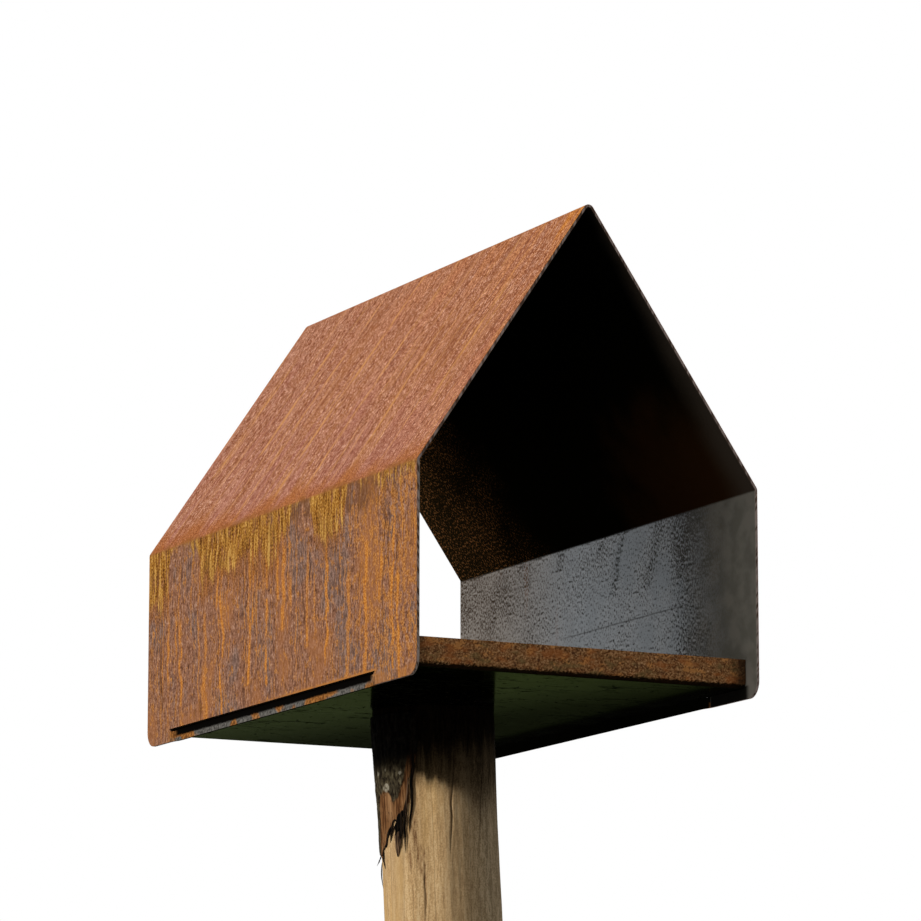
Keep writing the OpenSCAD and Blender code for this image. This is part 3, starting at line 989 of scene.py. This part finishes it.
# %% [markdown]
# ## Bark
# The last bark clings below the head. Its outside is rough and grey, with a few
# crusts of lichen, and where that has flaked off in a V the inner bark shows,
# smooth and red. It is one closed plate, a front grid and a back grid joined all
# round, and one border between the two barks gives both its relief and its colour.

# %% The bark's outline
BARK_FROM, BARK_TO = 120.0, 214.5
BARK_TOP = POST_H - 4 * MM
BARK_SHORT = 56 * MM
V_TIP = (196.0, 1.436)


def bark_edge(angle):
    """Height of the bark's lower edge: a tongue, a small lobe and a ragged fringe."""
    tongue = 38 * MM * np.exp(-((angle - 160) / 38) ** 2)
    lobe = 2.4 * MM * np.exp(-((angle - 202) / 5) ** 2)
    fringe = (1.6 * around_post(angle, 70, 11) + 1.2 * around_post(angle, 190, 12)) * MM
    return BARK_TOP - BARK_SHORT - tongue - lobe + fringe


def outer_bark(angle, z):
    """1 on the outer bark and 0 on the inner: above a V that opens upwards.

    Right of the tip the border rises with the square of the angle. Left of it,
    it rises to a shelf, and falls again towards the back of the post.
    """
    turn = angle - V_TIP[0]
    right = 0.068 * turn ** 2
    left = 7 * (1 - np.exp(turn / 4)) - 40 * ease(angle, 175, 163)
    border = V_TIP[1] + np.where(turn > 0, right, left) * MM
    border = border + 1.8 * MM * around_post(angle, 140, 17)
    return ease(z, border - 0.8 * MM, border + 1.6 * MM)


print(f"the bark covers {BARK_TO - BARK_FROM:.0f} degrees of the post's head")

# %% Lichen
LICHENS = ((187.5, 1.4460, 3.4), (208, 1.455, 1.3), (188, 1.458, 1.1),
           (174.5, 1.4565, 1.6), (150, 1.450, 2.8), (136, 1.440, 2.4))
BARK_R = 39 * MM


def lichen_patches(angle, z):
    """1 on a thick ring round some points of the bark, less in each one's middle.

    Each patch is (angle, height, radius in mm), and a ring's profile is a bell
    round 0.55 of the radius.
    """
    total = np.zeros_like(z)
    for at_angle, at_z, radius in LICHENS:
        across = np.radians(angle - at_angle) * BARK_R
        apart = np.hypot(across, z - at_z) / (radius * MM)
        total = np.maximum(total, np.exp(-((apart - 0.55) / 0.42) ** 2))
    return total


print(f"{len(LICHENS)} patches of lichen")

# %% The bark's grid
BARK_ROWS, BARK_COLS = 180, 150
NOISE_FROM, NOISE_SPAN = 1.38, 0.12

p = np.linspace(0, 1, BARK_COLS)[None, :]
q = np.linspace(0, 1, BARK_ROWS)[:, None]
fray = 0.8 * wander(q, 12, 13) + 0.5 * wander(q, 40, 18)
right_side = BARK_TO + 13 * ease(q, 0.15, 0.62) + fray
bark_angle = BARK_FROM + (right_side - BARK_FROM) * p
bark_z = bark_edge(bark_angle) * (1 - q) + BARK_TOP * q
turn, along = bark_angle / 360, (bark_z - NOISE_FROM) / NOISE_SPAN
outer = outer_bark(bark_angle, bark_z)
lumps = lattice(turn, along, 58, 14, 14)
plates = np.abs(lattice(turn, along, 105, 11, 15))
crumbs = lattice(turn, along, 380, 64, 16)
strands = lattice(turn, along, 210, 9, 19)
lichen = lichen_patches(bark_angle, bark_z)
# Hollows between the bark's plates, darkened in the finish as painted shade.
groove = 1 - np.minimum(plates * 3.0, 1)
# A paler band down the inner bark's middle: a painted highlight.
core = np.exp(-((bark_angle - 191) / 5) ** 2) * ease(bark_z, 1.415, 1.43)
print(f"bark from {bark_z.min() / MM:.0f} to {bark_z.max() / MM:.0f} mm up the post")

# %% The bark's thickness
SUNK = 0.9


def both_sides(values):
    """A value of the front grid, repeated on the back grid."""
    return np.concatenate([values, values[:, ::-1]], axis=1)


relief = 0.25 + 0.45 * lumps + 0.55 * np.minimum(plates * 2.2, 1) + 0.12 * crumbs
thick = 0.8 + 0.16 * strands + outer * relief
thin_edges = np.minimum(1, 0.8 + q * 3) * np.minimum(1, 0.55 + 9 * np.minimum(p, 1 - p))
front = on_post(bark_angle, bark_z, thick * thin_edges * MM)
back = on_post(bark_angle, bark_z, np.full_like(bark_z, -SUNK * MM))
bark_rings = np.concatenate([front, back[:, ::-1]], axis=1)
print(f"bark up to {thick.max():.1f} mm thick, its back {SUNK} mm in the wood")

# %% Bark finish
def bark_finish():
    f = Finish("bark", roughness=0.9, specular=0.04)
    x, y, z = f.x, f.y, f.z
    grain = f.noise(x * 520, y * 520, z * 260, detail=3, rough=0.6)
    fibre = f.noise(x * 620, y * 620, z * 45, detail=3)
    old = f.ramp(
        grain, (0.38, (0.020, 0.014, 0.008)), (0.48, (0.060, 0.045, 0.024)),
        (0.56, (0.100, 0.077, 0.042)), (0.66, (0.16, 0.128, 0.072)))
    # Painted shade: the hollows between the plates are darkened.
    old = f.mix(f.painted("groove") * 0.75, old, (0.010, 0.007, 0.005))
    crust = f.step(f.painted("lichen") + (grain - 0.5) * 0.9, 0.42, 0.62)
    pale = f.tones(grain, 0.42, 0.60, (0.21, 0.17, 0.11), (0.42, 0.37, 0.27))
    old = f.mix(crust * 0.85, old, pale)
    young = f.ramp(
        fibre, (0.38, (0.082, 0.031, 0.011)), (0.48, (0.165, 0.068, 0.024)),
        (0.56, (0.250, 0.112, 0.040)), (0.66, (0.37, 0.190, 0.079)))
    # Painted highlight: a paler band down the middle of the inner bark.
    young = f.mix(f.painted("core") * 0.45, young, (0.50, 0.275, 0.125))
    young = f.mix(f.step(grain, 0.40, 0.34) * 0.6, young, (0.060, 0.030, 0.016))
    colour = f.mix(f.painted("outer"), young, old)
    black = f.tones(grain, 0.44, 0.66, (0.0015, 0.0012, 0.001), (0.010, 0.008, 0.006))
    # Black towards the head: iron stain and painted shade under the tray.
    sooty = f.step(z + (grain - 0.5) * 16 * MM, 1.456, 1.469)
    colour = f.mix(sooty * 0.98, colour, black)
    return f.done(colour, height=grain * (0.35 * MM))


# %% The bark plate
cols = 2 * BARK_COLS
faces = (ring_faces(BARK_ROWS, cols) + strip_end(0, cols, False)
         + strip_end((BARK_ROWS - 1) * cols, cols, True))
bark_piece = mesh_object(
    "bark_plate", bark_rings, faces, bark_finish(), outer=both_sides(outer),
    lichen=both_sides(lichen), groove=both_sides(groove), core=both_sides(core))
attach(bark_piece, "root")
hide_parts("bark_patch")

# %% [markdown]
# ## Loose slivers
# Where the bark tore, dark fibres hang down, and a black strip under its torn
# edge stands in for the edge's shadow. Each is a lens-shaped profile carried
# along a path on the post, so one function makes them all from the path's angle,
# height and lift.

# %% A profile carried along a path
SLIVER_STEPS, SLIVER_SIDES = 36, 10
PATH = np.linspace(0, 1, SLIVER_STEPS)[:, None]
POST_R = 40 * MM


def carried(angle, z, lift, width, thick, size):
    """An ellipse, width by thick, carried along a path on the post.

    The ellipse's width lies across the path: where the path's direction is (run,
    rise) on the unrolled surface, the width's is (-rise, run). size scales both.
    """
    around = np.linspace(0, 2 * np.pi, SLIVER_SIDES, endpoint=False)[None, :]
    run = np.gradient(np.radians(angle) * POST_R, axis=0)
    rise = np.gradient(z, axis=0)
    length = np.hypot(run, rise)
    off = width / 2 * size * np.cos(around)
    return on_post(angle - np.degrees(off * rise / length / POST_R), z + off * run / length,
                   lift + thick / 2 * size * np.sin(around))


print(f"slivers: {SLIVER_STEPS} rings of {SLIVER_SIDES} points")

# %% Slivers and the torn edge's painted shadow
def sliver(start, end, width, thick, curl, seed, sway=0.0):
    """Points of a sliver from (angle, z, lift) to (angle, z, lift).

    The path bulges by curl off the post and by sway degrees along it in the
    middle, with some lattice noise. The profile shrinks to both ends. Lift,
    width, thick and curl are in mm.
    """
    (start_angle, start_z, start_lift), (end_angle, end_z, end_lift) = start, end
    bulge = np.sin(np.pi * PATH)
    wave = wander(PATH, 7, seed) * bulge
    angle = start_angle + (end_angle - start_angle) * PATH + 1.2 * wave + sway * bulge
    z = start_z + (end_z - start_z) * PATH
    lift = start_lift + (end_lift - start_lift) * PATH + curl * bulge
    size = np.maximum(np.sin(np.pi * PATH ** 0.8) ** 0.7, 0.04)
    return carried(angle, z, lift * MM, width * MM, thick * MM, size)


def torn_edge(start, end, width, seed):
    """A dark seam, width mm wide, under the bark's lower edge between two angles."""
    # The strip is a painted shadow under the torn edge.
    angle = start + (end - start) * PATH
    z = bark_edge(angle) - width * MM * 0.3
    size = np.maximum(np.sin(np.pi * PATH) ** 0.4, 0.04)
    size = size * (1 + 0.5 * wander(PATH, 11, seed))
    return carried(angle, z, 0.5 * MM + 0 * PATH, width * MM, 1.0 * MM, size)


print("a sliver has pointed ends, and the torn edge follows the bark's border")

# %% Joining rods in one object
def joined_rods(name, rods, material, smooth=True):
    """Joins rods, each an array of rings of points, in one object, with closed ends."""
    points, faces, first = [], [], 0
    for rod in rods:
        rings, sides = rod.shape[:2]
        last = first + (rings - 1) * sides
        faces += (np.array(ring_faces(rings, sides)) + first).tolist()
        faces.append(list(range(first + sides - 1, first - 1, -1)))
        faces.append(list(range(last, last + sides)))
        points.append(rod.reshape(-1, 3))
        first = last + sides
    return mesh_object(name, np.concatenate(points), faces, material, smooth)


def fibre(name, low, high, dark, light):
    """Rough fibres along the post, from dark to light."""
    f = Finish(name, roughness=0.9, specular=0.04)
    grain = f.noise(f.x * 700, f.y * 700, f.z * 60, detail=3)
    return f.done(f.tones(grain, low, high, dark, light), height=grain * (0.3 * MM))


dark_fibre = fibre("dark_fibre", 0.44, 0.68, (0.002, 0.0015, 0.001), (0.024, 0.015, 0.009))
brown_fibre = fibre("brown_fibre", 0.42, 0.64, (0.018, 0.010, 0.006), (0.19, 0.110, 0.060))

# %% The hanging shreds
flap = joined_rods("bark_shreds", [
    sliver((223, 1.476, 0.5), (213, 1.4140, 0.4), 2.3, 1.4, 0.5, 21, 1),
    sliver((213, 1.440, 0.3), (208, 1.4010, 0.6), 1.9, 1.2, 0.9, 22, -1.5),
    sliver((207, 1.431, 0.2), (203.5, 1.4070, 0.6), 3.0, 1.2, 0.9, 27, -0.5),
    sliver((204, 1.430, 0.2), (199, 1.4130, 0.4), 3.6, 1.2, 0.6, 30),
    sliver((202, 1.4265, 0.2), (195, 1.4095, 0.5), 2.2, 1.2, 0.7, 23),
    sliver((196, 1.4205, 0.2), (187, 1.4090, 0.4), 1.6, 1.0, 0.6, 24, -1),
    # A black strip under the torn edge: its painted shadow.
    torn_edge(209, 172, 2.2, 28),
    sliver((172, 1.407, 0.2), (173, 1.3920, 0.3), 1.8, 0.9, 0.3, 25, -1.5),
], dark_fibre)
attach(flap, "root")
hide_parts("bark_flap")

# %% The torn leaf and the splinters
leaf = joined_rods("torn_leaf", [
    sliver((200.5, 1.419, 0.2), (198, 1.3990, 0.7), 5.6, 1.0, 0.7, 26),
    sliver((215.5, 1.452, 0.8), (211.5, 1.4190, 0.7), 1.3, 0.9, 0.7, 29),
], brown_fibre)
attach(leaf, "root")

splinters = joined_rods("splinters", [
    sliver((160, 1.404, 0.2), (154, 1.3955, 4.0), 2.2, 0.8, -0.3, 31),
    sliver((156, 1.398, 0.5), (155, 1.380, 0.4), 2.0, 0.8, 0.8, 32),
], dark_fibre)
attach(splinters, "root")

# %% [markdown]
# ## Dark fillers beside the tray
# A dark strip lies in the play between the tray and each wall, so that no light
# shines through that gap above the slots: a dark piece put where there is only
# shade. Each strip is a low hump: a bulging profile from the tray to the wall,
# carried along Y.

# %% Dark fillers in the gap, standing in for shade
GRIME_STEPS, GRIME_SIDES = 220, 8
GRIME_W, GRIME_H = 3.2 * MM, 1.5 * MM


def grime_strip(side, seed):
    """Points of a hump along one wall: half an ellipse, closed by the tray's top.

    Width and height vary along Y with lattice noise.
    """
    t = np.linspace(0, 1, GRIME_STEPS)[:, None]
    around = np.linspace(0, np.pi, GRIME_SIDES)[None, :]
    size = 1 + 0.30 * wander(t, 90, seed) + 0.20 * wander(t, 200, seed + 1)
    size = size * np.minimum(1, 0.1 + 30 * np.minimum(t, 1 - t))
    x = HALF_W - SHEET - GRIME_W * size * (1 - np.cos(around)) / 2
    y = (2 * t - 1) * (TRAY_END - 4 * MM) + 0 * around
    z = TRAY_Z + SHEET - 0.1 * MM + GRIME_H * size * np.sin(around)
    points = np.stack([side * x, y, z], axis=-1)
    return points[:, ::-1] if side > 0 else points


# A dark finish for the filler, which stands in for shade in the gap.
def grime_finish():
    f = Finish("grime", roughness=0.95, specular=0.02)
    crumbs = f.noise(f.x * 700, f.y * 500, f.z * 700, detail=3, rough=0.6)
    colour = f.ramp(
        crumbs, (0.38, (0.010, 0.007, 0.004)), (0.50, (0.045, 0.030, 0.017)),
        (0.64, (0.14, 0.095, 0.050)))
    return f.done(colour, height=crumbs * (0.4 * MM))


grime = joined_rods("packed_grime", [grime_strip(1, 61), grime_strip(-1, 63)], grime_finish())
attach(grime, "root")

# %% [markdown]
# ## Screws
# Two coach screws with washers hold the tray on the post's head. They show only
# from above, between the lips. A washer and a head are turned profiles: a short
# list of (radius, height) in mm, carried round an axis.

# %% Coach screws
def turned(profile, centre, sides, flat_from=None):
    """Points of a profile of (radius, height) carried round a vertical axis.

    Where flat_from is given, the rings from that one on are hexagons: the radius
    is divided by the cosine of the angle to the middle of the nearest flat.
    """
    around = np.linspace(0, 2 * np.pi, sides, endpoint=False)
    rows = np.array(profile)
    radius = np.repeat(rows[:, :1], sides, axis=1)
    if flat_from is not None:
        to_flat = (around + np.pi / 6) % (np.pi / 3) - np.pi / 6
        radius[flat_from:] = radius[flat_from:] / np.cos(to_flat)
    height = np.repeat(rows[:, 1:], sides, axis=1)
    return np.stack([centre[0] + radius * np.cos(around),
                     centre[1] + radius * np.sin(around), centre[2] + height], axis=-1)


def galvanised():
    f = Finish("aged_zinc", roughness=0.5, specular=0.5)
    f.shader.inputs["Metallic"].default_value = 0.8
    spangle = f.cells(f.x * 700, f.y * 700, f.z * 700)
    stain = f.noise(f.x * 260, f.y * 260, f.z * 260, detail=3)
    colour = f.tones(spangle, 0.2, 0.7, (0.30, 0.30, 0.29), (0.42, 0.41, 0.39))
    colour = f.mix(f.step(stain, 0.50, 0.62) * 0.7, colour, (0.20, 0.09, 0.04))
    return f.done(colour, height=stain * (0.1 * MM))


# %% The screws on the tray
WASHER = [(0.05, 0.0), (11.5, 0.0), (12.0, 0.4), (12.0, 1.6), (11.5, 2.0), (5.0, 2.0)]
HEAD = [(6.0, 2.0), (6.3, 2.3), (6.3, 7.0), (5.6, 7.6), (4.0, 7.8), (0.05, 7.8)]
SCREW_SIDES = 48
SCREW_OFF = 20 * MM

head_x, head_y = post_axis(POST_H)
profile = [(r * MM, h * MM) for r, h in WASHER + HEAD]
screws = joined_rods("coach_screws", [
    turned(profile, (head_x, head_y + offset, TRAY_Z + SHEET), SCREW_SIDES, len(WASHER))
    for offset in (-SCREW_OFF, SCREW_OFF)], galvanised(), smooth=False)
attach(screws, "root")

# %% [markdown]
# ## The studio
# A pale floor, an even white world and two lamps: a key lamp from the left, small
# enough for a clear shadow, and a wide weak one from the back right. The world is
# white to the camera and in reflections, and dimmer where it lights the object,
# so that the key lamp still models the form. The floor glows a little, but only
# to the camera, and keeps the object's shadow.

# %% Floor
FLOOR_HALF = 60.0
FLOOR_GLOW = 0.42


def floor_finish():
    f = Finish("studio_floor", roughness=0.9, specular=0.2)
    cloud = f.noise(f.x * 0.6, f.y * 0.6, detail=2)
    pale = f.mix(cloud, (0.80, 0.80, 0.79), (0.84, 0.84, 0.83))
    camera_ray = f.node("LightPath", {})
    f.tree.links.new((camera_ray * FLOOR_GLOW).socket, f.shader.inputs["Emission Strength"])
    f.shader.inputs["Emission Color"].default_value = (1.0, 1.0, 1.0, 1.0)
    return f.done(f.mix(camera_ray, (0.3, 0.3, 0.3), pale))


corners = np.array([(-1, -1, 0), (1, -1, 0), (1, 1, 0), (-1, 1, 0)]) * FLOOR_HALF
floor = mesh_object("studio_floor", corners, [[0, 1, 2, 3]], floor_finish())

# %% World
WORLD_LIGHT = 0.35

world = bpy.data.worlds.new("studio")
bpy.context.scene.world = world
world.use_nodes = True
nodes, links = world.node_tree.nodes, world.node_tree.links
background = nodes["Background"]
background.inputs["Color"].default_value = (1.0, 1.0, 1.0, 1.0)
rays = nodes.new("ShaderNodeLightPath")
seen = rays.outputs["Is Camera Ray"]
for kind in ("Is Glossy Ray", "Is Transmission Ray"):
    either = nodes.new("ShaderNodeMath")
    either.operation = "MAXIMUM"
    links.new(seen, either.inputs[0])
    links.new(rays.outputs[kind], either.inputs[1])
    seen = either.outputs[0]
level = nodes.new("ShaderNodeMapRange")
level.inputs["To Min"].default_value = WORLD_LIGHT
level.inputs["To Max"].default_value = 1.0
links.new(seen, level.inputs["Value"])
links.new(level.outputs[0], background.inputs["Strength"])
print(f"world: white to the camera, {WORLD_LIGHT} as light")

# %% Lamps
AIM = Vector((0.0, 0.0, FOOT_Z + 0.1))


def area_lamp(name, toward, distance, size, power):
    """A round lamp that faces AIM from a distance, in the direction toward."""
    data = bpy.data.lights.new(name, "AREA")
    data.shape = "DISK"
    data.size = size
    data.energy = power
    lamp = bpy.data.objects.new(name, data)
    direction = Vector(toward).normalized()
    lamp.location = AIM + direction * distance
    lamp.rotation_euler = direction.to_track_quat("Z", "Y").to_euler()
    lamp.visible_camera = False
    bpy.context.scene.collection.objects.link(lamp)
    print(f"{name} lamp: {size} m wide, {power} W")


area_lamp("key", (-0.927, 0.0, 0.375), distance=3.2, size=0.42, power=68)
area_lamp("fill", (0.62, 0.70, 0.35), distance=4.0, size=2.2, power=26)

# %% Camera
VIEW_AZIMUTH, VIEW_ELEVATION = math.radians(26.78), math.radians(10.41)
VIEW_FROM = (-1.5072, -3.0152, 1.0556)
LENS, SENSOR = 195.0, 36.0

forward = Vector((math.sin(VIEW_AZIMUTH) * math.cos(VIEW_ELEVATION),
                  math.cos(VIEW_AZIMUTH) * math.cos(VIEW_ELEVATION),
                  math.sin(VIEW_ELEVATION)))
camera_data = bpy.data.cameras.new("camera")
camera_data.lens = LENS
camera_data.sensor_width = SENSOR
camera = bpy.data.objects.new("camera", camera_data)
bpy.context.scene.collection.objects.link(camera)
camera.location = VIEW_FROM
camera.rotation_euler = forward.to_track_quat("-Z", "Y").to_euler()
bpy.context.scene.camera = camera
bpy.context.scene.view_settings.view_transform = "Standard"
print(f"camera looks {math.degrees(VIEW_ELEVATION):.1f} degrees up through a {LENS:.0f} mm lens")
